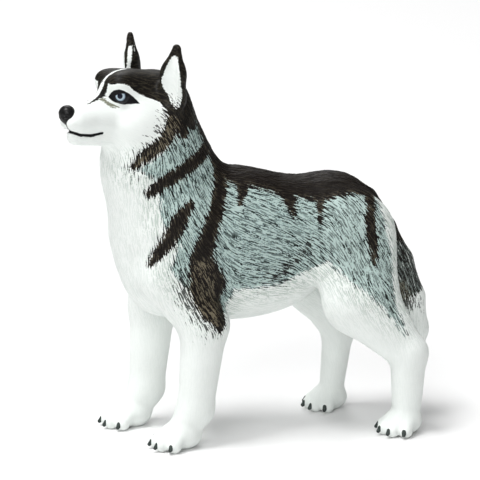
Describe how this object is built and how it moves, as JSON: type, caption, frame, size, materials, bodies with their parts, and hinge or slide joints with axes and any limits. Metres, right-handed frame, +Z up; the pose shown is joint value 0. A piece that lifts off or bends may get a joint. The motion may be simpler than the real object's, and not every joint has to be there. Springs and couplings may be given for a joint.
{
  "type": "siberian husky figurine",
  "caption": "Painted solid vinyl figurine of a standing siberian husky, with upright pointed ears, the head turned a little to its left, a thick tail hanging down and four flat paws.",
  "frame": {"origin": "On the floor, under the middle of the figurine's length and width.", "axes": "+X is the dog's left, -Y is the way the body faces, +Z is up."},
  "size_m": [0.0288, 0.0766, 0.0802],
  "materials": {
    "coat_white": "matte white paint over a finely engraved coat",
    "coat_grey": "matte blue-grey paint with dark washed strokes in the engraved coat",
    "coat_black": "matte brown-black paint, brushed thin at its edges",
    "nose_black": "satin black paint",
    "eye_blue": "glossy pale blue iris with a dark pupil and a black rim"
  },
  "bodies": {
    "root": {"head": "coat_white", "nose": "nose_black", "eye_left": "eye_blue", "eye_right": "eye_blue", "ear_left": "coat_black", "ear_right": "coat_black", "neck": "coat_grey", "torso": "coat_grey", "tail": "coat_black", "front_left_leg": "coat_white", "front_left_paw": "coat_white", "front_right_leg": "coat_white", "front_right_paw": "coat_white", "hind_left_leg": "coat_white", "hind_left_paw": "coat_white", "hind_right_leg": "coat_white", "hind_right_paw": "coat_white"}
  },
  "joints": []
}
